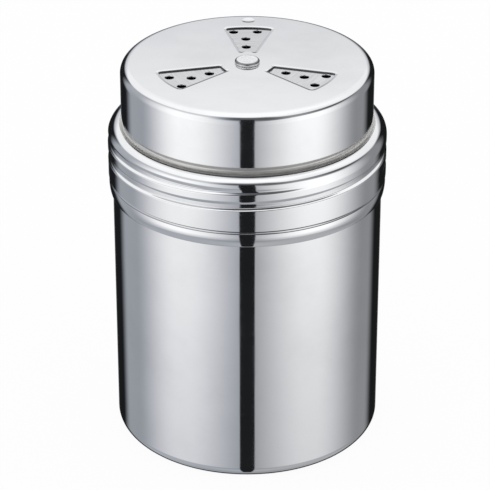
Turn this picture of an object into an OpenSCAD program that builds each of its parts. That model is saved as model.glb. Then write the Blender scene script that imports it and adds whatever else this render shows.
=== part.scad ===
// Spice shaker: a drawn can, a screw lid with a perforated top, and a dial cap
// that turns on a rivet to open or close the holes.
// The Z axis is the shaker's own axis and z = 0 is the surface it stands on.

/* [Sheet] */
// Thickness of the sheet that the can, the lid and the dial cap are pressed from
sheet = 0.4; // [0.35:0.05:0.5]

/* [Can] */
// Outer diameter of the can
can_d = 65; // [62:0.5:68]
// Height of the can's rim
can_h = 79; // [78:0.5:79.5]
// Outer radius of the can's bottom corner
can_corner = 2.8; // [2:0.1:4]
// How far the middle of the bottom is pushed up
bottom_lift = 0.8; // [0.4:0.1:1.5]
// How much smaller in radius the threaded neck is than the can
neck_step = 0.6; // [0.55:0.05:0.8]

/* [Screw lid] */
// How much wider in radius the collar is than the can
collar_over = 1; // [0.95:0.05:1.2]
// Height of the collar's bottom edge
collar_z = 64; // [63:0.5:64.5]
// Height of the lid's shoulder
shoulder_z = 81.1; // [81:0.1:81.5]
// Radius of the shoulder's rolled edge
shoulder_r = 2.9; // [2.4:0.1:3]
// Outer diameter of the neck that the dial cap turns on
hub_d = 58.6; // [58:0.1:58.8]

/* [Thread] */
// Rise of the rolled thread in one turn
lead = 4.1; // [4:0.1:4.3]
// Height of the collar's groove where it starts, on the +X side
thread_z = 71; // [70.8:0.1:71.2]
// Depth of the collar's rolled groove
groove_depth = 0.8; // [0.6:0.05:0.85]
// Height of the ridge on the can's neck
ridge_height = 0.75; // [0.6:0.05:0.75]

/* [Dial cap] */
// Outer diameter of the dial cap
dial_d = 60.4; // [60.2:0.1:61]
// Height of the dial cap's top face
dial_z = 96; // [95.5:0.1:98]
// Height of the dial cap's bottom edge
skirt_z = 82.8; // [82.5:0.1:84]
// Outer radius of the dial cap's top edge
dial_corner = 2.1; // [1.8:0.1:2.4]
// Outer radius of the windows
window_out = 21.7; // [20:0.1:23]
// Inner radius of the windows
window_in = 6.4; // [6:0.1:8]
// Angle between a window's two sides
window_angle = 30.5; // [22:0.5:34]
// Angle by which the dial cap is turned from the holes
dial_turn = -1.1; // [-60:0.1:60]

/* [Sprinkle holes] */
// Diameter of a sprinkle hole
hole_d = 2.15; // [1.5:0.05:3]
// Radii of the two holes on a window's middle line
hole_r1 = 10.4; // [9:0.1:11]
hole_r2 = 15.3; // [14:0.1:16]
// Radius of the outer pair of holes
hole_r3 = 19.8; // [19:0.1:20]
// Angle of each outer hole from the window's middle line
hole_half_angle = 8.4; // [6:0.1:9]
// Angle by which all the holes are turned from the +Y axis
hole_turn = 1.2; // [0:0.1:3]

/* [Rivet] */
// Diameter of the rivet's head
head_d = 5.9; // [5:0.1:8]
// Height of the rivet's head
head_h = 0.8; // [0.6:0.1:1.2]
// Diameter of the rivet's shank
shank_d = 3; // [2.5:0.1:3.5]

/* [Hidden] */
$fn = 96;
eps = 0.01;
cut = 4;                              // height of what cuts right through a sheet
steps = 60;                           // straight sides of the rolled thread
chord = 1 / sqrt(cos(180 / steps));   // keeps a ring of straight sides at its true radius

// Can: its pushed-up bottom leaves a ring to stand on, and its wall steps in to the neck
can_r = can_d / 2;
foot_w = 2;
foot_in = can_r - can_corner - foot_w;
dome_run = 1.2;
neck_r = can_r - neck_step;
neck_z = 66.3;
neck_slope = 0.7;
thread_foot = 70.8;                   // below it, the neck is plain
rim_round = 0.2;
collar_r = can_r + collar_over;
hub_r = hub_d / 2;
dial_r = dial_d / 2;

// Hub: the dial cap turns this far over the lid's plate
dial_gap = 0.05;
plate_z = dial_z - sheet - dial_gap;
hub_corner = 1.3;
hub_fillet = 0.9;
flange_r = hub_r + hub_fillet;        // the shoulder is flat from here to its rolled edge
edge_r = collar_r - shoulder_r;
edge_z = shoulder_z - shoulder_r;

// Thread: the groove's steep lower side, its long upper side, and where it fades out
groove_down = 0.8;
groove_up = 1.9;
groove_start = -22;
groove_end = 700;
groove_fade = 130;
groove_droop = 0.4;
ridge_above = 1.75;                   // the can's ridge runs this far over the collar's groove
ridge_half = 1;
ridge_end = 420;

// Hem: a plain groove, then a bead that curls in to the collar's bottom edge
hem_groove_z = 67.7;
hem_groove_half = 0.6;
hem_groove_depth = 0.4;
hem_ridge = 0.2;                      // how far the plain groove stands out on the inside
bead_in = 0.2;                        // how much smaller in radius the bead is than the collar
curl_in = 0.3;
curl_h = 1.8;

// Dial cap: the shallow dimple stamped in its top, as radius and angle, and its windows' corners
dimple_at = [25.8, 90.5];
dimple_r = 1.6;
dimple_depth = 0.2;
window_round = 0.8;

// Rivet: under the plate it holds a cone spring and a flat washer, and its tail is spread
bearing_gap = 0.05;
spring_h = 0.6;
spring_sheet = 0.3;
spring_r = 3.9;
spring_flat = 0.6;
washer_r = 3;
washer_h = 0.5;
play = 0.08;                          // radial play of the rivet in its holes
bore_r = shank_d / 2 + play;
head_round = 0.45;
tail_r = 2.3;
tail_h = 0.6;
tail_round = 0.25;
spring_top = plate_z - sheet - bearing_gap;
washer_top = spring_top - spring_h;
tail_top = washer_top - washer_h;

function clamp01(t) = min(1, max(0, t));
function bump(t) = abs(t) < 1 ? pow(cos(90 * t), 2) : 0;
function helix_z(a) = thread_z + lead * a / 360;
function arc(x, z, r, a0, a1, n) = [for (i = [0:n]) let (a = a0 + (a1 - a0) * i / n)
    [x + r * cos(a), z + r * sin(a)]];
function reversed(list) = [for (i = [len(list) - 1:-1:0]) list[i]];

// How deep the collar's groove is at height z on the thread's own angle a
function groove_at(z, a) =
    let (droop = groove_droop * (1 - clamp01((a - groove_start) / 80)))
    let (dz = z - helix_z(a) + droop)
    let (fade = clamp01((a - groove_start) / 28) * clamp01((groove_end - a) / groove_fade))
    groove_depth * fade * (dz > 0 ? max(0, 1 - dz / groove_up) : bump(dz / groove_down));

// How high the can's ridge is at height z on the thread's own angle a
function ridge_at(z, a) =
    let (fade = clamp01(a / 30) * clamp01((ridge_end - a) / 40))
    ridge_height * fade * bump((z - helix_z(a) - ridge_above) / ridge_half);

function groove(z, a) = max(groove_at(z, a - 360), groove_at(z, a), groove_at(z, a + 360));
function ridge(z, a) = max(ridge_at(z, a), ridge_at(z, a + 360));

// Solid ring from a closed outline whose points move in or out with the thread;
// side is -1 for the collar's groove and 1 for the neck's ridge
module threaded_ring(outline, side) {
    n = len(outline);
    points = [for (i = [0:steps - 1], p = outline)
        let (a = 360 * i / steps)
        let (r = chord * (p[0] + (side < 0 ? -groove(p[1], a) : ridge(p[1], a))))
        [r * cos(a), r * sin(a), p[1]]];
    faces = [for (i = [0:steps - 1], j = [0:n - 1])
        let (i2 = (i + 1) % steps, j2 = (j + 1) % n)
        [i * n + j, i2 * n + j, i2 * n + j2, i * n + j2]];
    polyhedron(points, faces, convexity = 6);
}

// Half outline of a round block with rounded bottom and top corners
module block_outline(r, z0, z1, bottom, top) {
    translate([0, z0 + bottom]) square([r, z1 - z0 - bottom - top]);
    if (bottom > 0) {
        translate([0, z0]) square([r - bottom, bottom]);
        translate([r - bottom, z0 + bottom]) intersection() {
            circle(r = bottom);
            translate([0, -bottom]) square(bottom);
        }
    }
    if (top > 0) {
        translate([0, z1 - top]) square([r - top, top]);
        translate([r - top, z1 - top]) intersection() {
            circle(r = top);
            square(top);
        }
    }
}

module block(r, z0, z1, bottom = 0, top = 0) {
    rotate_extrude() block_outline(r, z0, z1, bottom, top);
}

// Neck of the can with its rolled ridge and the plain rounded rim; its foot laps round the wall below
module can_neck() {
    rows = 15;
    lap = 0.06;
    lap_h = 0.2;
    top = can_h - rim_round;
    low = thread_foot + 2 * lap_h;
    levels = [for (i = [0:rows]) low + (top - low) * i / rows];
    outer = [for (z = levels) [neck_r, z]];
    inner = [for (z = levels) [neck_r - sheet, z]];
    rim = [[neck_r - rim_round, can_h], [neck_r - sheet + rim_round / 2, can_h]];
    lap_out = [for (z = [thread_foot - lap_h, thread_foot + lap_h]) [neck_r + lap, z]];
    lap_in = [for (z = [thread_foot + lap_h, thread_foot - lap_h]) [neck_r - sheet - lap, z]];
    threaded_ring(reversed(concat(lap_out, outer, rim, reversed(inner), lap_in)), 1);
}

// Block in the shape of the can below its thread; inset is how far it lies inside the outer skin
module can_block(inset) {
    slope_z = neck_z - neck_slope;
    block(can_r - inset, inset, slope_z, can_corner - inset);
    translate([0, 0, slope_z])
        cylinder(h = neck_slope, r1 = can_r - inset, r2 = neck_r - inset);
    translate([0, 0, neck_z])
        cylinder(h = thread_foot - neck_z + inset, r = neck_r - inset);
}

module can() {
    color("silver") union() {
        difference() {
            can_block(0);
            difference() {
                can_block(sheet);
                cylinder(h = sheet + bottom_lift, r1 = foot_in + dome_run / 2,
                    r2 = foot_in - dome_run / 2);
            }
            translate([0, 0, -eps])
                cylinder(h = bottom_lift + eps, r1 = foot_in, r2 = foot_in - dome_run);
        }
        can_neck();
    }
}

// Point of the plain groove; t goes from 1 at its top to -1 at its foot, where the bead starts
function hem_point(t, wall_r, depth) =
    [wall_r - bead_in * (1 - t) / 2 - depth * bump(t), hem_groove_z + hem_groove_half * t];

// Point of the bead's curl; t goes from 0 at its top to 1 at the collar's bottom edge
function curl_point(t) =
    [collar_r - bead_in - curl_in * pow(t, 2), collar_z + curl_h * (1 - t)];

// Collar of the lid: rolled shoulder, helical groove, plain groove and hem bead
module collar() {
    rows = 17;
    gap = 0.4;
    top = edge_z - gap;
    low = hem_groove_z + hem_groove_half + 2 * gap;
    levels = [for (i = [0:rows]) top + (low - top) * i / rows];
    outer = concat(
        [[flange_r, shoulder_z]],
        arc(edge_r, edge_z, shoulder_r, 90, 0, 7),
        [for (z = levels) [collar_r, z]],
        [for (t = [1:-0.5:-1]) hem_point(t, collar_r, hem_groove_depth)],
        [for (t = [0:0.25:1]) curl_point(t)]);
    inner = concat(
        [[collar_r - bead_in - sheet, collar_z]],
        [for (t = [-1:0.5:1]) hem_point(t, collar_r - sheet, hem_ridge)],
        [for (z = reversed(levels)) [collar_r - sheet, z]],
        arc(edge_r, edge_z, shoulder_r - sheet, 0, 90, 5),
        [[flange_r, shoulder_z - sheet]]);
    threaded_ring(concat(outer, inner), -1);
}

// Hub of the lid: neck and perforated plate
module hub() {
    fillet_z = shoulder_z + hub_fillet;
    fillet_out = hub_fillet + sheet;
    difference() {
        union() {
            difference() {
                block(hub_r, fillet_z, plate_z, 0, hub_corner);
                block(hub_r - sheet, fillet_z - eps, plate_z - sheet, 0, hub_corner - sheet);
            }
            rotate_extrude() translate([flange_r, fillet_z]) intersection() {
                difference() {
                    circle(r = fillet_out);
                    circle(r = hub_fillet);
                }
                translate([-fillet_out, -fillet_out]) square(fillet_out);
            }
        }
        translate([0, 0, plate_z - cut / 2]) cylinder(h = cut, r = bore_r);
        for (a = [90, 210, 330]) rotate(a) sprinkle_holes();
    }
}

// The four sprinkle holes of one window, drawn along +X
module sprinkle_holes() {
    spots = [[hole_r1, 0], [hole_r2, 0], [hole_r3, hole_half_angle], [hole_r3, -hole_half_angle]];
    for (s = spots) rotate(s[1] + hole_turn) translate([s[0], 0, plate_z - cut / 2])
        cylinder(h = cut, r = hole_d / 2);
}

module screw_lid() {
    color("silver") union() {
        hub();
        collar();
    }
}

// Wedge window with rounded corners, drawn along +X
module window_outline() {
    half = window_angle / 2;
    far = window_out / cos(half);
    inner_mid = [window_in + window_round, (window_in + window_round) * tan(half)
        - window_round / cos(half)];
    reach = window_out - window_round;
    tilt = half - asin(window_round / reach);
    outer_mid = [reach * cos(tilt), reach * sin(tilt)];
    side = window_round * [-sin(half), cos(half)];
    in_tip = inner_mid + side;
    out_tip = outer_mid + side;
    back = [window_in, inner_mid[1]];
    outer_dir = outer_mid * window_out / reach;
    intersection() {
        circle(r = window_out);
        union() {
            polygon([back, in_tip, out_tip, outer_dir, [far, 0], mirror_y(outer_dir),
                mirror_y(out_tip), mirror_y(in_tip), mirror_y(back)]);
            for (c = [inner_mid, outer_mid, mirror_y(inner_mid), mirror_y(outer_mid)])
                translate(c) circle(r = window_round, $fn = 32);
        }
    }
}

function mirror_y(p) = [p[0], -p[1]];

module dial_cap() {
    // radius of the ball that stamps the dimple to its depth and radius
    ball = (pow(dimple_r, 2) + pow(dimple_depth, 2)) / (2 * dimple_depth);
    color("gainsboro") difference() {
        block(dial_r, skirt_z, dial_z, 0, dial_corner);
        block(dial_r - sheet, skirt_z - eps, dial_z - sheet, 0, dial_corner - sheet);
        rotate(dimple_at[1] + dial_turn) translate([dimple_at[0], 0, dial_z - dimple_depth + ball])
            sphere(r = ball);
        translate([0, 0, dial_z - cut / 2]) cylinder(h = cut, r = bore_r);
        for (a = [90, 210, 330]) rotate(a + dial_turn)
            translate([0, 0, dial_z - cut / 2]) linear_extrude(cut) window_outline();
    }
}

module pivot_rivet() {
    under = dial_z + bearing_gap;
    color("silver") union() {
        block(head_d / 2, under, under + head_h, 0, head_round);
        translate([0, 0, tail_top - tail_h / 2])
            cylinder(h = under - tail_top + tail_h / 2 + eps, r = shank_d / 2);
        block(tail_r, tail_top - tail_h, tail_top, tail_round, 0);
    }
}

// Cone spring that presses the plate against the dial cap
module spring_washer() {
    color("gray") translate([0, 0, washer_top]) difference() {
        cylinder(h = spring_h, r1 = bore_r + spring_flat, r2 = spring_r);
        translate([0, 0, spring_sheet])
            cylinder(h = spring_h, r1 = bore_r + spring_flat, r2 = spring_r + spring_flat);
        translate([0, 0, -cut / 2]) cylinder(h = cut, r = bore_r + play);
    }
}

module clench_washer() {
    color("gray") translate([0, 0, tail_top]) difference() {
        cylinder(h = washer_h, r = washer_r);
        translate([0, 0, -cut / 2]) cylinder(h = cut, r = bore_r);
    }
}

can();
screw_lid();
dial_cap();
pivot_rivet();
spring_washer();
clench_washer();
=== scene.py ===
"""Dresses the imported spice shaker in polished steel, in a pale studio.

The shells are outlines spun on a lathe, as the real ones are drawn and rolled. Outlines are
in millimetres, as (radius, height) points, and become metres when they are spun.
"""

import math

import bpy
import numpy as np
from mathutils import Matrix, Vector


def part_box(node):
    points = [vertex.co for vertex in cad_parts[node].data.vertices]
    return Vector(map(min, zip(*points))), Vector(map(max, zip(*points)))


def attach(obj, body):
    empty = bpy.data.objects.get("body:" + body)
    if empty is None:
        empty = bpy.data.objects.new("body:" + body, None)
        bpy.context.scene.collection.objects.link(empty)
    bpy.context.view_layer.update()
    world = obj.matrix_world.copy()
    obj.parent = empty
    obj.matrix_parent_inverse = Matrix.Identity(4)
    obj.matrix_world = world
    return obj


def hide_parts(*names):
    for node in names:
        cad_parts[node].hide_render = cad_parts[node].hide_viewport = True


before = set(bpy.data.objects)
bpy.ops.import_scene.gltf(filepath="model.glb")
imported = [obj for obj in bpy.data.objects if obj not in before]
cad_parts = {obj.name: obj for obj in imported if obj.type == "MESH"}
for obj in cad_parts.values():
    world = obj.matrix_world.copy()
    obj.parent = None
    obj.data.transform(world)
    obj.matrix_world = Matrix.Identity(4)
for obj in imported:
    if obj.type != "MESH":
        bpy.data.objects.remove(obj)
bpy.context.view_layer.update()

MM = 0.001
SEGMENTS = 192          # steps round the axis
ARC_STEP = math.radians(6)
MERGE = 0.002           # points of a spun outline nearer than this become one
SUPPORT = 0.2           # a ring this near each arc keeps the flats beside it flat
CLOSE = 0.001           # lengths this near each other count as equal
THROUGH = 4             # height of a tool that cuts right through a sheet

# Sizes of the whole shaker, in millimetres as all sizes here
COLLAR_R = 33.5
CAN_R = 32.5
SHEET = 0.4

# Sizes read from the frame
DIAL_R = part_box("dial_cap")[1].x / MM
DIAL_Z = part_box("dial_cap")[1].z / MM
SKIRT_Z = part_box("dial_cap")[0].z / MM
COLLAR_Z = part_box("screw_lid")[0].z / MM
CAN_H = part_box("can")[1].z / MM
RIVET_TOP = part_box("pivot_rivet")[1].z / MM
RIVET_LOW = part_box("pivot_rivet")[0].z / MM
HEAD_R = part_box("pivot_rivet")[1].x / MM

# Can
CAN_CORNER = 2.8
BOTTOM_LIFT = 0.8
BOTTOM_ROUND = 0.9
BOTTOM_INNER_ROUND = 0.5
FOOT_W = 2
DOME_RUN = 1.2
NECK_R = CAN_R - 0.6
NECK_Z = 66.3
NECK_SLOPE = 0.7
NECK_ROUND = 0.4
NECK_PLAIN = 2          # height of the neck under its rows of points
NECK_ROWS = (NECK_Z + 2.3, CAN_H - 0.3)
NECK_ROW = 0.18
NECK_INNER_ROW = 0.3
RIM_LOW = 0.25          # the neck's last point is this far under the rim
RIM_STEPS = 6

# Lid
SHOULDER_Z = 81.1
SHOULDER_R = 2.9
HUB_R = 29.3
HUB_FILLET = 0.9
HUB_CORNER = 1.3
SHOULDER_STEPS = 36
PLATE_Z = DIAL_Z - SHEET - 0.05
BORE_R = 1.58

# Hem of the collar: plain groove, and bead below it
HEM_Z = 67.85
HEM_UP = 0.3
HEM_DOWN = 0.7
HEM_DEPTH = 0.45
HEM_RIDGE = 0.3
BEAD_IN = 0.12
BEAD_MID = 66.2         # the bead stands out most at this height
BEAD_ROUND = 8          # radius of its curve
BEAD_INNER_CURVE = 0.5  # the inner skin curves this much as strongly
EDGE_ROUND = 0.1
EDGE_IN = 0.08

# Rows of points down the collar's wall, as (top, bottom, step): thread, plain band, groove, bead
WALL_TOP = SHOULDER_Z - SHOULDER_R
COLLAR_ROWS = (
    (WALL_TOP, 69.6, 0.04),
    (69.4, HEM_Z + 0.5, 0.2),
    (HEM_Z + 0.4, HEM_Z - 0.8, 0.04),
    (HEM_Z - 0.9, COLLAR_Z + EDGE_ROUND, 0.1),
)
INNER_ROWS = (COLLAR_Z + EDGE_ROUND, WALL_TOP - 0.3, 0.35)

# Rolled thread
LEAD = 4.1
THREAD_Z = 71
GROOVE_DEPTH = 0.8
GROOVE_DOWN = 0.8
GROOVE_UP = 1.9
GROOVE_START = -22      # degrees along the thread, as are the next ones
GROOVE_END = 700
GROOVE_RISE = 28
GROOVE_FADE = 130
GROOVE_DROOP = 0.4      # the groove starts this much lower, over the droop's length
DROOP_LENGTH = 80
SLANT_ROUND = 0.14
RIDGE_HEIGHT = 0.75
RIDGE_ABOVE = 1.75
RIDGE_HALF = 1
RIDGE_RISE = 30
RIDGE_END = 420
RIDGE_FADE = 40

# Dial cap
DIAL_CORNER = 2.1
DIAL_TURN = -1.1
WINDOW_IN = 6.4
WINDOW_OUT = 21.7
WINDOW_ANGLE = 30.5
WINDOW_ROUND = 0.8
WINDOW_INNER_ROUND = 0.35
WINDOW_MIDS = (90, 210, 330)
WINDOW_ARC_STEPS = 5    # on each side of the middle of the wide end
WINDOW_ARC_SPARE = 1.8  # the arc stops this many fillets before the corners
DIAL_EDGE_ROUND = 0.15
DIAL_SMOOTH_BELOW = 6.5
DIMPLE_AT = 25.8
DIMPLE_ANGLE = math.radians(90.5 + DIAL_TURN)
DIMPLE_DEPTH = 0.2
DIMPLE_BALL = 6.5       # radius of the ball that stamps it

# Sprinkle holes, as (radius, angle from the window's middle line)
HOLE_D = 2.15
HOLE_SIDES = 39
HOLE_TURN = 1.2
HOLES = ((10.4, 0), (15.3, 0), (19.8, 8.4), (19.8, -8.4))

# Edges that a punch drags down, as (distance from the cut, depth) points that end over the sheet
WINDOW_EDGE = ((0, 0.13), (0.02, 0.1), (0.06, 0.08), (0.65, 0), (0.8, -0.02))
HOLE_EDGE = ((0, 0.12), (0.03, 0.06), (0.09, 0), (0.12, -0.03))

# Rivet
SHANK_R = 1.5
TAIL_R = 2.3
TAIL_H = 0.6
HEAD_H = 0.8
HEAD_ROUND = 0.45
HEAD_LOW_ROUND = 0.08
TAIL_TOP_ROUND = 0.1
TAIL_ROUND = 0.25


# Outlines

def rounded(corners):
    """Outline through (radius, height, fillet) corners, with an arc at each filleted one."""
    spots = [Vector(corner[:2]) for corner in corners]
    fillets = [corner[2] for corner in corners]
    ways, reaches = [], []
    for i, (here, fillet) in enumerate(zip(spots, fillets)):
        to_last = (spots[i - 1] - here).normalized()
        to_next = (spots[(i + 1) % len(spots)] - here).normalized()
        ways.append((to_last, to_next))
        reaches.append(fillet / math.tan(to_last.angle(to_next) / 2) if fillet else 0)

    def has_room(i, other):
        """True if the supports on the flat between two corners don't pass each other."""
        supports = SUPPORT * (2 if reaches[other] else 1)
        return reaches[i] + reaches[other] + supports < (spots[i] - spots[other]).length + CLOSE

    points = []
    for i, (here, fillet) in enumerate(zip(spots, fillets)):
        if not fillet:
            points.append(here)
            continue
        to_last, to_next = ways[i]
        reach = reaches[i]
        centre = here + (to_last + to_next).normalized() * math.hypot(fillet, reach)
        start = here + to_last * reach - centre
        turn = start.angle_signed(here + to_next * reach - centre)
        steps = max(3, math.ceil(abs(turn) / ARC_STEP))
        if has_room(i, i - 1):
            points.append(here + to_last * (reach + SUPPORT))
        for k in range(steps + 1):
            angle = math.atan2(start.y, start.x) - turn * k / steps
            points.append(centre + fillet * Vector((math.cos(angle), math.sin(angle))))
        if has_room(i, (i + 1) % len(spots)):
            points.append(here + to_next * (reach + SUPPORT))
    return [(p.x, p.y) for p in points]


def bump(t):
    """Smooth hump from 0 at t = -1 over 1 at t = 0 to 0 at t = 1."""
    return np.where(np.abs(t) < 1, np.cos(np.pi / 2 * t) ** 2, 0)


def slant(t):
    """Straight slope from 1 at t = 0 to 0 at t = 1, rounded at both ends."""
    t = np.clip(t, 0, 1)
    curve = 2 * SLANT_ROUND * (1 - SLANT_ROUND)
    middle = (1 - t - SLANT_ROUND / 2) / (1 - SLANT_ROUND)
    return np.where(t < SLANT_ROUND, 1 - t**2 / curve,
                    np.where(t > 1 - SLANT_ROUND, (1 - t)**2 / curve, middle))


def smooth(t):
    """Smooth step from 0 at t = 0 to 1 at t = 1."""
    t = np.clip(t, 0, 1)
    return t * t * (3 - 2 * t)


def collar_skin(z, radius, groove, curve=1.0):
    """Radius of the collar's wall at height z, with its plain groove and the bead under it."""
    t = (z - HEM_Z) / (HEM_UP if z > HEM_Z else HEM_DOWN)
    bead = BEAD_IN + curve * (z - BEAD_MID)**2 / (2 * BEAD_ROUND)
    return float(radius - bead * smooth((1 - t) / 2) - groove * bump(t))


def levels(top, bottom, step):
    """Heights from top to bottom in even steps of about the given size."""
    count = round(abs(top - bottom) / step)
    return [top + (bottom - top) * k / count for k in range(count + 1)]


# Mesh tools

def start_piece(name):
    """Marks the active object as the piece of that name."""
    piece = bpy.context.object
    piece.name = name
    piece.data.name = name
    return piece


def lathe(name, outline):
    """Spins a (radius, height) outline round the Z axis into a closed skin."""
    bpy.ops.object.select_all(action="DESELECT")
    bpy.ops.mesh.primitive_plane_add(size=MM, location=(0, 0, 0))
    piece = start_piece(name)
    bpy.ops.object.mode_set(mode="EDIT")
    bpy.ops.mesh.merge(type="CENTER")
    r0, z0 = outline[0]
    bpy.ops.transform.translate(value=(r0 * MM, 0, z0 * MM))
    for (r0, z0), (r1, z1) in zip(outline, outline[1:]):
        step = ((r1 - r0) * MM, 0, (z1 - z0) * MM)
        bpy.ops.mesh.extrude_region_move(TRANSFORM_OT_translate={"value": step})
    bpy.ops.mesh.select_all(action="SELECT")
    bpy.ops.mesh.spin(steps=SEGMENTS, angle=2 * math.pi, center=(0, 0, 0), axis=(0, 0, 1))
    bpy.ops.mesh.select_all(action="SELECT")
    bpy.ops.mesh.remove_doubles(threshold=MERGE * MM)
    bpy.ops.mesh.normals_make_consistent(inside=False)
    bpy.ops.object.mode_set(mode="OBJECT")
    return piece


def activate(piece):
    """Makes this piece the only selected one."""
    bpy.ops.object.select_all(action="DESELECT")
    piece.select_set(True)
    bpy.context.view_layer.objects.active = piece


def press(piece, depth_at):
    """Presses each vertex towards the axis by depth_at(height, angle), in millimetres."""
    mesh = piece.data
    co = np.empty(len(mesh.vertices) * 3)
    mesh.vertices.foreach_get("co", co)
    co = co.reshape(-1, 3)
    radius = np.hypot(co[:, 0], co[:, 1])
    angle = np.degrees(np.arctan2(co[:, 1], co[:, 0])) % 360
    depth = depth_at(co[:, 2] / MM, angle) * MM
    co[:, :2] *= ((radius - depth) / np.maximum(radius, MM))[:, None]
    mesh.vertices.foreach_set("co", co.ravel())
    mesh.update()


def cut_with(piece, cutters):
    """Cuts the joined cutters out of the piece and removes them."""
    activate(cutters[0])
    for cutter in cutters:
        cutter.select_set(True)
    bpy.ops.object.join()
    tool = bpy.context.object
    activate(piece)
    bpy.ops.object.modifier_add(type="BOOLEAN")
    modifier = piece.modifiers[-1]
    modifier.operation = "DIFFERENCE"
    modifier.solver = "MANIFOLD"
    modifier.object = tool
    bpy.ops.object.modifier_apply(modifier=modifier.name)
    bpy.data.objects.remove(tool)


def finish_piece(piece, body, slot, nodes, *materials, smooth_below=32):
    """Shades the piece, puts it on its body and lets it stand for its CAD nodes."""
    activate(piece)
    bpy.ops.object.shade_smooth_by_angle(angle=math.radians(smooth_below))
    piece.data.materials.clear()
    for material in materials:
        piece.data.materials.append(material)
    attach(piece, body)
    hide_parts(*nodes)
    return piece


# Rolled thread

def helix_z(turn):
    """Height of the collar's groove at this angle of the thread, in degrees."""
    return THREAD_Z + LEAD * turn / 360


def groove_at(z, turn):
    """Depth of the collar's rolled groove."""
    drop = GROOVE_DROOP * (1 - np.clip((turn - GROOVE_START) / DROOP_LENGTH, 0, 1))
    dz = z - helix_z(turn) + drop
    fade = smooth((turn - GROOVE_START) / GROOVE_RISE) * smooth((GROOVE_END - turn) / GROOVE_FADE)
    return GROOVE_DEPTH * fade * np.where(dz > 0, slant(dz / GROOVE_UP), bump(dz / GROOVE_DOWN))


def ridge_at(z, turn):
    """Height of the ridge on the can's neck."""
    fade = smooth(turn / RIDGE_RISE) * smooth((RIDGE_END - turn) / RIDGE_FADE)
    return RIDGE_HEIGHT * fade * bump((z - helix_z(turn) - RIDGE_ABOVE) / RIDGE_HALF)


def collar_thread(z, angle):
    """Depth by which the thread presses the collar in."""
    return np.maximum.reduce([groove_at(z, angle + turn) for turn in (-360, 0, 360)])


def neck_thread(z, angle):
    """Depth by which the thread presses the neck in, so it is negative at the ridge."""
    return -np.maximum(ridge_at(z, angle), ridge_at(z, angle + 360))


# Steel

ZONE_EDGE = 0.08        # width over which one finish passes into another
RING_SCALE = 60.0       # the rings are a noise that is fine across them and long along them
RING_FINE = 60.0
RING_LONG = 0.05
RING_HEIGHT = 0.002
WAVE_SCALE = 90.0
WAVE_HEIGHT = 0.05
SMUDGE_SCALE = 45.0
SMUDGE_DARK = 0.94      # darkest share of the tint in a smudge
GRAIN_DARK = 0.8        # and in the grain of a zone


class Nodes:
    """Short hand for adding and joining shader nodes."""

    def __init__(self, tree):
        self.tree = tree
        tree.nodes.clear()

    def add(self, kind, settings=None, **inputs):
        """Adds a node; settings are its own fields, and inputs are values or outputs to join."""
        node = self.tree.nodes.new(kind)
        for key, value in (settings or {}).items():
            setattr(node, key, value)
        for key, value in inputs.items():
            index = int(key[1:]) if key[0] == "i" and key[1:].isdigit() else key.replace("_", " ")
            self.set(node.inputs[index], value)
        return node

    def set(self, socket, value):
        """Gives a socket a value, or joins an output to it."""
        if isinstance(value, bpy.types.NodeSocket):
            self.tree.links.new(value, socket)
        else:
            socket.default_value = value

    def math(self, operation, a, b=0.0, c=0.0):
        """Result of a Math node."""
        node = self.add("ShaderNodeMath", {"operation": operation}, i0=a, i1=b, i2=c)
        return node.outputs[0]

    def span(self, value, low, high, to_low=0.0, to_high=1.0):
        """Maps a value smoothly from one span to another, held at both ends."""
        node = self.add("ShaderNodeMapRange", {"interpolation_type": "SMOOTHSTEP"}, Value=value,
                        From_Min=low, From_Max=high, To_Min=to_low, To_Max=to_high)
        return node.outputs[0]

    def band(self, value, start, full, fall, end):
        """1 between full and fall, and 0 before start and after end."""
        return self.math("MULTIPLY", self.span(value, start, full), self.span(value, end, fall))

    def ramp(self, value, stops):
        """Colour ramp through (place, colour) stops."""
        node = self.add("ShaderNodeValToRGB", Fac=value)
        node.color_ramp.interpolation = "EASE"
        elements = node.color_ramp.elements
        while len(elements) < len(stops):
            elements.new(0.5)
        for element, (place, colour) in zip(elements, stops):
            element.position = place
            element.color = (*colour, 1)
        return node.outputs[0]

    def mix(self, factor, a, b):
        """Mix of two numbers."""
        node = self.add("ShaderNodeMix", {"data_type": "FLOAT"}, i0=factor, i2=a, i3=b)
        return node.outputs[0]

    def blend(self, factor, a, b):
        """Mix of two colours."""
        node = self.add("ShaderNodeMix", {"data_type": "RGBA"}, Factor=factor)
        self.set(node.inputs[6], a)
        self.set(node.inputs[7], b)
        return node.outputs[2]


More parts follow.
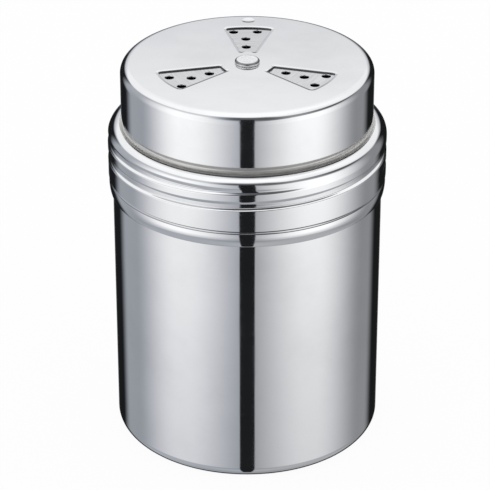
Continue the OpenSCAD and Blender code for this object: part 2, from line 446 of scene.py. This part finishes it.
def polished_steel(name, tint, roughness, rings=0.15, waves=0.3, zones=()):
    """Steel spun against a buffing wheel: fine rings round the axis, faint waves and smudges.

    A zone is a band of the surface with its own tint and roughness, where some zones paint shade,
    as (low height, high height, inner radius, outer radius, tint, roughness), in millimetres.
    """
    material = bpy.data.materials.new(name)
    material.use_nodes = True
    n = Nodes(material.node_tree)
    place = n.add("ShaderNodeTexCoord").outputs["Object"]
    axes = n.add("ShaderNodeSeparateXYZ", Vector=place)
    height = axes.outputs[2]
    flat = n.add("ShaderNodeCombineXYZ", X=axes.outputs[0], Y=axes.outputs[1])
    radius = n.add("ShaderNodeVectorMath", {"operation": "LENGTH"}, i0=flat.outputs[0]).outputs["Value"]
    around = n.math("ARCTAN2", axes.outputs[1], axes.outputs[0])
    turned = n.add("ShaderNodeCombineXYZ", X=n.math("MULTIPLY", radius, RING_FINE),
                   Y=n.math("MULTIPLY", around, RING_LONG), Z=n.math("MULTIPLY", height, RING_FINE))
    ring = n.add("ShaderNodeTexNoise", Vector=turned.outputs[0], Scale=RING_SCALE, Detail=3.0)
    wave = n.add("ShaderNodeTexNoise", Vector=place, Scale=WAVE_SCALE, Detail=1.0)
    smudge = n.add("ShaderNodeTexNoise", Vector=place, Scale=SMUDGE_SCALE, Detail=5.0, Roughness=0.6)
    colour = n.ramp(smudge.outputs[0], [(0.3, shade(tint, SMUDGE_DARK)), (0.6, tint)])
    rough = n.span(smudge.outputs[0], 0.35, 0.7, roughness * 0.7, roughness * 1.4)
    rough = n.math("ADD", rough, n.span(ring.outputs[0], 0.45, 0.75, 0.0, roughness * 0.5))
    for low, high, inner, outer, zone_tint, zone_roughness in zones:
        inside = n.band(height, (low - ZONE_EDGE) * MM, low * MM, high * MM, (high + ZONE_EDGE) * MM)
        inside = n.math("MULTIPLY", inside, n.band(
            radius, (inner - ZONE_EDGE) * MM, inner * MM, outer * MM, (outer + ZONE_EDGE) * MM))
        grain = n.ramp(ring.outputs[0], [(0.3, shade(zone_tint, GRAIN_DARK)), (0.7, zone_tint)])
        colour = n.blend(inside, colour, grain)
        rough = n.mix(inside, rough, zone_roughness)
    waved = n.add("ShaderNodeBump", Strength=waves, Distance=WAVE_HEIGHT * MM, Height=wave.outputs[0])
    ringed = n.add("ShaderNodeBump", Strength=rings, Distance=RING_HEIGHT * MM,
                   Height=ring.outputs[0], Normal=waved.outputs[0])
    shader = n.add("ShaderNodeBsdfPrincipled", Base_Color=colour, Metallic=1.0,
                   Roughness=rough, Normal=ringed.outputs[0])
    n.add("ShaderNodeOutputMaterial", Surface=shader.outputs[0])
    return material


def shade(tint, factor):
    """Darker tint."""
    return tuple(factor * c for c in tint)


# Pieces

def spin_can(outside, inside):
    """Drawn can: pushed-up bottom, rounded corner, wall, neck with the rolled ridge, and rim."""
    foot_in = CAN_R - CAN_CORNER - FOOT_W
    skin = rounded([
        (0, BOTTOM_LIFT, 0),
        (foot_in - DOME_RUN, BOTTOM_LIFT, BOTTOM_ROUND),
        (foot_in, 0, BOTTOM_ROUND),
        (CAN_R, 0, CAN_CORNER),
        (CAN_R, NECK_Z - NECK_SLOPE, NECK_ROUND),
        (NECK_R, NECK_Z, NECK_ROUND),
        (NECK_R, NECK_Z + NECK_PLAIN, 0),
    ])
    rows_low, rows_high = NECK_ROWS
    skin += [(NECK_R, z) for z in levels(rows_low, rows_high, NECK_ROW)]
    skin.append((NECK_R, CAN_H - RIM_LOW))
    rim_r = SHEET / 2
    for k in range(RIM_STEPS + 1):
        angle = math.pi * k / RIM_STEPS
        skin.append((NECK_R - rim_r + rim_r * math.cos(angle),
                     CAN_H - rim_r + rim_r * math.sin(angle)))
    inner_r = NECK_R - SHEET
    skin += [(inner_r, z) for z in levels(rows_high, rows_low, NECK_INNER_ROW)]
    skin += rounded([
        (inner_r, NECK_Z + NECK_PLAIN, 0),
        (inner_r, NECK_Z, NECK_ROUND),
        (CAN_R - SHEET, NECK_Z - NECK_SLOPE, NECK_ROUND),
        (CAN_R - SHEET, SHEET, CAN_CORNER - SHEET),
        (foot_in + DOME_RUN / 2, SHEET, BOTTOM_INNER_ROUND),
        (foot_in - DOME_RUN / 2, SHEET + BOTTOM_LIFT, BOTTOM_INNER_ROUND),
        (0, SHEET + BOTTOM_LIFT, 0),
    ])
    can = lathe("can_shell", skin)
    press(can, neck_thread)
    finish_piece(can, "can", "can_steel", ["can"], outside, inside)
    paint_inside(can)
    return can


def paint_inside(piece):
    """Gives the second material to the faces that look at the axis, or up from the bottom."""
    facing = 0.5
    for face in piece.data.polygons:
        centre, normal = face.center, face.normal
        inward = normal.x * centre.x + normal.y * centre.y < 0 and normal.z > -facing
        bottom = centre.z < (CAN_CORNER + 0.2) * MM and normal.z > facing
        face.material_index = 1 if inward or bottom else 0


def spin_lid(outside, inside):
    """Pressed lid: plate with its holes, hub, shoulder, and collar with groove and hem."""
    edge_r = COLLAR_R - SHOULDER_R
    edge_z = WALL_TOP
    turns = [math.radians(90 - 90 * k / SHOULDER_STEPS) for k in range(SHOULDER_STEPS)]
    skin = rounded([
        (BORE_R, PLATE_Z, 0),
        (HUB_R, PLATE_Z, HUB_CORNER),
        (HUB_R, SHOULDER_Z, HUB_FILLET),
        (edge_r, SHOULDER_Z, 0),
    ])[:-1]
    skin += [(edge_r + SHOULDER_R * math.cos(t), edge_z + SHOULDER_R * math.sin(t)) for t in turns]
    skin += [(collar_skin(z, COLLAR_R, HEM_DEPTH), z) for rows in COLLAR_ROWS for z in levels(*rows)]
    inner = [(collar_skin(z, COLLAR_R - SHEET, HEM_RIDGE, BEAD_INNER_CURVE), z)
             for z in levels(*INNER_ROWS)]
    skin += [(skin[-1][0] - EDGE_IN, COLLAR_Z), (inner[0][0], COLLAR_Z)]
    skin += inner
    skin += rounded([
        (COLLAR_R - SHEET, INNER_ROWS[1], 0),
        (COLLAR_R - SHEET, SHOULDER_Z - SHEET, SHOULDER_R - SHEET),
        (HUB_R - SHEET, SHOULDER_Z - SHEET, HUB_FILLET + SHEET),
        (HUB_R - SHEET, PLATE_Z - SHEET, HUB_CORNER - SHEET),
        (BORE_R, PLATE_Z - SHEET, 0),
        (BORE_R, PLATE_Z, 0),
    ])[2:]
    lid = lathe("screw_lid_shell", skin)
    press(lid, collar_thread)
    cut_with(lid, [punch(hole_outline(mid + off + HOLE_TURN, radius), PLATE_Z, HOLE_EDGE)
                   for mid in WINDOW_MIDS for radius, off in HOLES])
    finish_piece(lid, "lid", "lid_steel", ["screw_lid"], outside, inside)
    return lid


def punch(outline, top, edge):
    """Tool in the shape of an (x, y) outline that leaves a drawn-down edge at height top."""
    bpy.ops.object.select_all(action="DESELECT")
    bpy.ops.mesh.primitive_plane_add(size=MM, location=(0, 0, 0))
    tool = start_piece("punch")
    bpy.ops.object.mode_set(mode="EDIT")
    bpy.ops.mesh.merge(type="CENTER")
    x0, y0 = outline[0]
    bpy.ops.transform.translate(value=(x0 * MM, y0 * MM, (top - THROUGH / 2) * MM))
    for (x0, y0), (x1, y1) in zip(outline, outline[1:]):
        step = ((x1 - x0) * MM, (y1 - y0) * MM, 0)
        bpy.ops.mesh.extrude_region_move(TRANSFORM_OT_translate={"value": step})
    bpy.ops.mesh.select_all(action="SELECT")
    bpy.ops.mesh.edge_face_add()
    bpy.ops.mesh.delete(type="ONLY_FACE")
    bpy.ops.mesh.select_all(action="SELECT")
    rings = [(0, THROUGH / 2 - edge[0][1])]
    rings += [(out1 - out0, deep0 - deep1) for (out0, deep0), (out1, deep1) in zip(edge, edge[1:])]
    rings.append((0, THROUGH / 2))
    for grow, rise in rings:
        bpy.ops.mesh.extrude_region_move(TRANSFORM_OT_translate={"value": (0, 0, rise * MM)})
        if grow:
            bpy.ops.transform.shrink_fatten(value=grow * MM)
    bpy.ops.mesh.select_all(action="SELECT")
    bpy.ops.mesh.fill_holes(sides=0)
    bpy.ops.mesh.normals_make_consistent(inside=False)
    bpy.ops.object.mode_set(mode="OBJECT")
    return tool


def hole_outline(angle, radius):
    """Circle of a sprinkle hole, as (x, y) points in the order against the clock."""
    middle = radius * Vector((math.cos(math.radians(angle)), math.sin(math.radians(angle))))
    turns = [2 * math.pi * k / HOLE_SIDES for k in range(HOLE_SIDES)]
    return [(middle.x + HOLE_D / 2 * math.cos(t), middle.y + HOLE_D / 2 * math.sin(t)) for t in turns]


def window_outline(mid):
    """Wedge with rounded corners, as (x, y) points in the order against the clock."""
    half = math.radians(WINDOW_ANGLE / 2)
    spread = half - WINDOW_ROUND * WINDOW_ARC_SPARE / WINDOW_OUT
    reach = WINDOW_IN / math.cos(half)
    corners = [(reach, -half, WINDOW_INNER_ROUND), (WINDOW_OUT, -half, WINDOW_ROUND)]
    corners += [(WINDOW_OUT, spread * k / WINDOW_ARC_STEPS, 0)
                for k in range(-WINDOW_ARC_STEPS, WINDOW_ARC_STEPS + 1)]
    corners += [(WINDOW_OUT, half, WINDOW_ROUND), (reach, half, WINDOW_INNER_ROUND)]
    turn = math.radians(mid + DIAL_TURN)
    return rounded([(r * math.cos(a + turn), r * math.sin(a + turn), fillet)
                    for r, a, fillet in corners])


def spin_dial(steel):
    """Dial cap: flat top with three windows, a stamped dimple and a straight skirt."""
    skin = rounded([
        (BORE_R, DIAL_Z, 0),
        (DIAL_R, DIAL_Z, DIAL_CORNER),
        (DIAL_R, SKIRT_Z, DIAL_EDGE_ROUND),
        (DIAL_R - SHEET, SKIRT_Z, DIAL_EDGE_ROUND),
        (DIAL_R - SHEET, DIAL_Z - SHEET, DIAL_CORNER - SHEET),
        (BORE_R, DIAL_Z - SHEET, 0),
        (BORE_R, DIAL_Z, 0),
    ])
    dial = lathe("dial_cap_shell", skin)
    tools = [punch(window_outline(mid), DIAL_Z, WINDOW_EDGE) for mid in WINDOW_MIDS]
    bpy.ops.mesh.primitive_uv_sphere_add(
        segments=64, ring_count=128, radius=DIMPLE_BALL * MM,
        location=(DIMPLE_AT * MM * math.cos(DIMPLE_ANGLE), DIMPLE_AT * MM * math.sin(DIMPLE_ANGLE),
                  (DIAL_Z - DIMPLE_DEPTH + DIMPLE_BALL) * MM))
    tools.append(start_piece("dimple_stamp"))
    cut_with(dial, tools)
    finish_piece(dial, "dial", "dial_steel", ["dial_cap"], steel, smooth_below=DIAL_SMOOTH_BELOW)
    return dial


def spin_rivet(steel):
    """Rivet: low round head, shank and spread tail."""
    head_low = RIVET_TOP - HEAD_H
    skin = rounded([
        (0, RIVET_TOP, 0),
        (HEAD_R, RIVET_TOP, HEAD_ROUND),
        (HEAD_R, head_low, HEAD_LOW_ROUND),
        (SHANK_R, head_low, 0),
        (SHANK_R, RIVET_LOW + TAIL_H, 0),
        (TAIL_R, RIVET_LOW + TAIL_H, TAIL_TOP_ROUND),
        (TAIL_R, RIVET_LOW, TAIL_ROUND),
        (0, RIVET_LOW, 0),
    ])
    rivet = lathe("rivet_shell", skin)
    finish_piece(rivet, "rivet", "rivet_steel", ["pivot_rivet"], steel)
    return rivet


# Studio

CAMERA_DISTANCE = 0.62325
CAMERA_ELEVATION = math.radians(27.576)
CAMERA_AIM = 0.05
CAMERA_LENS = 186.7
CAMERA_SENSOR = 36
CAMERA_SHIFT = (-0.00457, -0.02108)
FLOOR_SIZE = 8
FLOOR_GLOW = 0.93       # share of its own light in what the camera sees of the floor

# The studio is given in directions, in degrees: turn is counted from the camera to the right,
# apart is turn without its sign, and up is counted from the horizon. Four numbers are a span:
# (from, to, value at from, value at to). An end of a box, the ceiling's shape and the cool tints
# have one number for the right and one for the left.
SIDE_BLEND = 0.25       # right passes into left over this share of the width
BASE_LIGHT = 0.3
BOX_LIGHT = 0.98
BOX_TURN = (-15, 55, 62)            # apart: where the light starts, is full and begins to fall
BOX_END = (118.0, 112.0)            # apart
BOX_LOW = (-35, -32.8, 0.2, 0.5)    # up
BOX_RISE = (-34, -22, 0, 0.5)       # up
LEFT_TOP = (26, 42, 1, 0.5)         # up
RIGHT_TOP = (16, 28, 1, 0.05)       # up, over the drop
RIGHT_DROP = (10, 45, 0.6, 1)       # apart
WALL_LEFT_LIGHT = 0.2
WALL_LEFT_TURN = (60, 100)          # apart
WALL_LEFT_UP = (-40, 30, 0.4, 1)
WALL_RIGHT_LIGHT = 0.1
WALL_RIGHT_TURN = (50, 90)          # apart
WALL_RIGHT_UP = (21, 29)
FLAG_LIGHT = 0.012
FLAG_TURN = (128, 144)              # apart
BACK_LIGHT = 0.15
BACK_TURN = (162, 172)              # apart
TABLE_LIGHT = (-75, -48, 0.4, 0.5)  # up
TABLE_UP = (-36, -46)
TABLE_TURN = (125, 115)             # apart
CEILING_AHEAD = (0.55, 0.71)        # slope of the ceiling
CEILING_HEIGHT = (0.82, 0.95)
CEILING_EDGE = (-0.09, 0.09)
SKY_LOW = (21, 25.5, 0.72, 1.07)    # up
SKY_HIGH = (30, 62, 0, 0.17)        # up
DIM_LIGHT = -0.14
DIM_TURN = (120, 90)                # apart
DIM_UP = (72, 60)
CAMERA_LIGHT = 0.12
CAMERA_TURN = (-44, -8, 20, 46)
CAMERA_UP = (10, 34, 52, 74)
STRIP_LIGHT = 0.015
STRIP_TURN = (7.0, 6.0)             # apart
STRIP_UP = (-80, -70, 30, 40)
COOL_FROM = 0.3                     # the light is coolest up to this strength
RED_TO, BLUE_TO = 0.7, 1.15         # and it is neutral from these
COOL_RED = (0.97, 0.93)
COOL_BLUE = (1.04, 1.1)
BRIGHT_RED = 0.99


def place_camera():
    """Long lens, looking down on the shaker."""
    across = CAMERA_DISTANCE * math.cos(CAMERA_ELEVATION)
    up = CAMERA_AIM + CAMERA_DISTANCE * math.sin(CAMERA_ELEVATION)
    bpy.ops.object.camera_add(location=(0, -across, up),
                              rotation=(math.pi / 2 - CAMERA_ELEVATION, 0, 0))
    camera = bpy.context.object
    camera.data.lens = CAMERA_LENS
    camera.data.sensor_width = CAMERA_SENSOR
    camera.data.shift_x, camera.data.shift_y = CAMERA_SHIFT
    bpy.context.scene.camera = camera


def lay_floor():
    """Pale floor that takes a faint shadow and leaves the steel's reflections to the studio."""
    bpy.ops.mesh.primitive_plane_add(size=FLOOR_SIZE, location=(0, 0, 0))
    floor = start_piece("floor")
    material = bpy.data.materials.new("pale_floor")
    material.use_nodes = True
    n = Nodes(material.node_tree)
    seen = n.add("ShaderNodeLightPath").outputs["Is Camera Ray"]
    paper = n.add("ShaderNodeBsdfDiffuse", Color=(0.9, 0.9, 0.9, 1))
    glow = n.add("ShaderNodeEmission", Color=(1, 1, 1, 1), Strength=1.0)
    mixed = n.add("ShaderNodeMixShader", Fac=n.math("MULTIPLY", seen, FLOOR_GLOW))
    n.set(mixed.inputs[1], paper.outputs[0])
    n.set(mixed.inputs[2], glow.outputs[0])
    n.add("ShaderNodeOutputMaterial", Surface=mixed.outputs[0])
    floor.data.materials.append(material)
    floor.visible_glossy = False


def light_studio():
    """World that the steel mirrors: a table, two soft boxes, walls, black flags and a ceiling.

    All but mirror rays see plain white.
    """
    world = bpy.data.worlds.new("studio")
    bpy.context.scene.world = world
    world.use_nodes = True
    n = Nodes(world.node_tree)
    axes = n.add("ShaderNodeSeparateXYZ", Vector=n.add("ShaderNodeTexCoord").outputs["Generated"])
    x, y, z = axes.outputs
    level = n.math("COSINE", n.math("ARCSINE", z))
    up = n.math("DEGREES", n.math("ARCSINE", z))
    turn = n.math("DEGREES", n.math("ARCTAN2", x, n.math("MULTIPLY", y, -1.0)))
    apart = n.math("ABSOLUTE", turn)
    left = n.span(n.math("DIVIDE", x, level), SIDE_BLEND, -SIDE_BLEND)
    right = n.math("SUBTRACT", 1.0, left)

    # Soft boxes: they start over the table, and the right one ends lower than the left one
    box = n.band(apart, *BOX_TURN, n.mix(left, *BOX_END))
    rise = n.math("ADD", n.span(up, *BOX_LOW), n.span(up, *BOX_RISE))
    left_top = n.span(up, *LEFT_TOP)
    right_top = n.span(n.math("DIVIDE", up, n.span(apart, *RIGHT_DROP)), *RIGHT_TOP)
    box = n.math("MULTIPLY", box, n.math("MULTIPLY", rise, n.mix(left, right_top, left_top)))
    light = n.math("MULTIPLY_ADD", box, BOX_LIGHT, BASE_LIGHT)

    # Grey wall on the left, and a dark one over the right box
    wall_left = n.math("MULTIPLY", n.span(apart, *WALL_LEFT_TURN), n.span(up, *WALL_LEFT_UP))
    light = n.math("MULTIPLY_ADD", n.math("MULTIPLY", left, wall_left), WALL_LEFT_LIGHT, light)
    wall_right = n.math("MULTIPLY", right, n.span(apart, *WALL_RIGHT_TURN))
    wall_right = n.math("MULTIPLY", wall_right, n.span(up, *WALL_RIGHT_UP))
    light = n.mix(wall_right, light, WALL_RIGHT_LIGHT)

    # Black flags beside the back, a dark back wall, and the table
    light = n.mix(n.span(apart, *FLAG_TURN), light, FLAG_LIGHT)
    light = n.mix(n.span(apart, *BACK_TURN), light, BACK_LIGHT)
    table = n.math("MULTIPLY", n.span(up, *TABLE_UP), n.span(apart, *TABLE_TURN))
    light = n.mix(table, light, n.span(up, *TABLE_LIGHT))

    # Ceiling: a white sheet that slopes down to the back, dimmer on the right
    ahead = n.math("MULTIPLY", y, n.mix(left, *CEILING_AHEAD))
    height = n.math("MULTIPLY", level, n.mix(left, *CEILING_HEIGHT))
    over = n.math("SUBTRACT", n.math("ADD", z, ahead), height)
    sky = n.math("ADD", n.span(up, *SKY_LOW), n.span(up, *SKY_HIGH))
    dim = n.math("MULTIPLY", right, n.span(apart, *DIM_TURN))
    sky = n.math("MULTIPLY_ADD", n.math("MULTIPLY", dim, n.span(up, *DIM_UP)), DIM_LIGHT, sky)
    light = n.mix(n.span(over, *CEILING_EDGE), light, sky)

    # Dark camera, and a black strip between the soft boxes
    camera = n.math("MULTIPLY", n.band(turn, *CAMERA_TURN), n.band(up, *CAMERA_UP))
    light = n.mix(camera, light, CAMERA_LIGHT)
    strip = n.math("MULTIPLY", n.span(apart, *STRIP_TURN), n.band(up, *STRIP_UP))
    light = n.mix(strip, light, STRIP_LIGHT)

    # The dimmer the light, the cooler it is
    cool = n.add("ShaderNodeCombineColor",
                 Red=n.span(light, COOL_FROM, RED_TO, n.mix(left, *COOL_RED), BRIGHT_RED), Green=1.0,
                 Blue=n.span(light, COOL_FROM, BLUE_TO, n.mix(left, *COOL_BLUE), 1.0))
    path = n.add("ShaderNodeLightPath")
    mirrored = n.add("ShaderNodeBackground", Color=cool.outputs[0], Strength=light)
    plain = n.add("ShaderNodeBackground", Color=(1, 1, 1, 1), Strength=1.0)
    shader = n.add("ShaderNodeMixShader", Fac=path.outputs["Is Glossy Ray"])
    n.set(shader.inputs[1], plain.outputs[0])
    n.set(shader.inputs[2], mirrored.outputs[0])
    n.add("ShaderNodeOutputWorld", Surface=shader.outputs[0])


# Finishes, with painted shade in some zones

STEEL = (0.80, 0.80, 0.81)
FAR = 1                 # a zone that goes this far past a surface takes in all of it
SEAM_OUT = HUB_R + 1.4

can_outside = polished_steel("can_mirror_polish", STEEL, 0.05)
can_inside = polished_steel("can_drawn_inside", (0.6, 0.6, 0.6), 0.25)
lid_outside = polished_steel("lid_mirror_polish_and_painted_shade", STEEL, 0.05, zones=[
    # Dull seam round the hub, lighter at its foot; its upper part, under the dial's skirt, is darkened
    # as painted shade
    (SHOULDER_Z - FAR, SHOULDER_Z + 0.6, HUB_R - FAR, SEAM_OUT, (0.8, 0.79, 0.77), 0.5),
    (SHOULDER_Z + 0.7, SKIRT_Z + FAR, HUB_R - FAR, SEAM_OUT, (0.5, 0.49, 0.48), 0.5),
    # Plate under the dial cap
    (PLATE_Z - 0.1, PLATE_Z + FAR, 0, HUB_R - HUB_CORNER, (0.73, 0.73, 0.74), 0.1),
    # Painted shade: the dark bottom of the hem's groove, and a painted shade line where its lower side
    # folds
    (HEM_Z - 0.14, HEM_Z + 0.35, COLLAR_R - 1.2, COLLAR_R - 0.2, (0.06, 0.06, 0.07), 0.3),
    (HEM_Z - 0.56, HEM_Z - 0.48, COLLAR_R - 1.2, COLLAR_R + FAR, (0.4, 0.4, 0.41), 0.15),
])
dial_steel = polished_steel("dial_polish_and_painted_shade", STEEL, 0.06, zones=[
    # Sheared walls of the windows: rough, and darkened as painted shade
    (DIAL_Z - SHEET + 0.02, DIAL_Z - 0.2, WINDOW_IN - FAR, WINDOW_OUT + FAR, (0.22, 0.22, 0.23), 0.4),
])
rivet_steel = polished_steel("rivet_polish_and_painted_shade", (0.97, 0.97, 0.97), 0.1, 0.0, 0.0, zones=[
    # Dull side of the head, painted shade on the rounded edge, and matt top
    (RIVET_TOP - HEAD_H - 0.1, RIVET_TOP - 0.5, HEAD_R - 0.5, HEAD_R + FAR, (1.0, 1.0, 1.0), 0.75),
    (RIVET_TOP - 0.36, RIVET_TOP + FAR, HEAD_R - HEAD_ROUND, HEAD_R + FAR, (0.28, 0.28, 0.29), 0.35),
    (RIVET_TOP - 0.04, RIVET_TOP + FAR, -FAR, HEAD_R - HEAD_ROUND - 0.04, (1.0, 1.0, 1.0), 0.3),
])
washer_steel = polished_steel("washer_steel", (0.55, 0.55, 0.55), 0.3)


# Scene

spin_can(can_outside, can_inside)
spin_lid(lid_outside, can_inside)
spin_dial(dial_steel)
spin_rivet(rivet_steel)
for name in ("spring_washer", "clench_washer"):
    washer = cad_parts[name]
    washer.data.materials.clear()
    washer.data.materials.append(washer_steel)

place_camera()
lay_floor()
light_studio()
bpy.context.scene.view_settings.view_transform = "Standard"
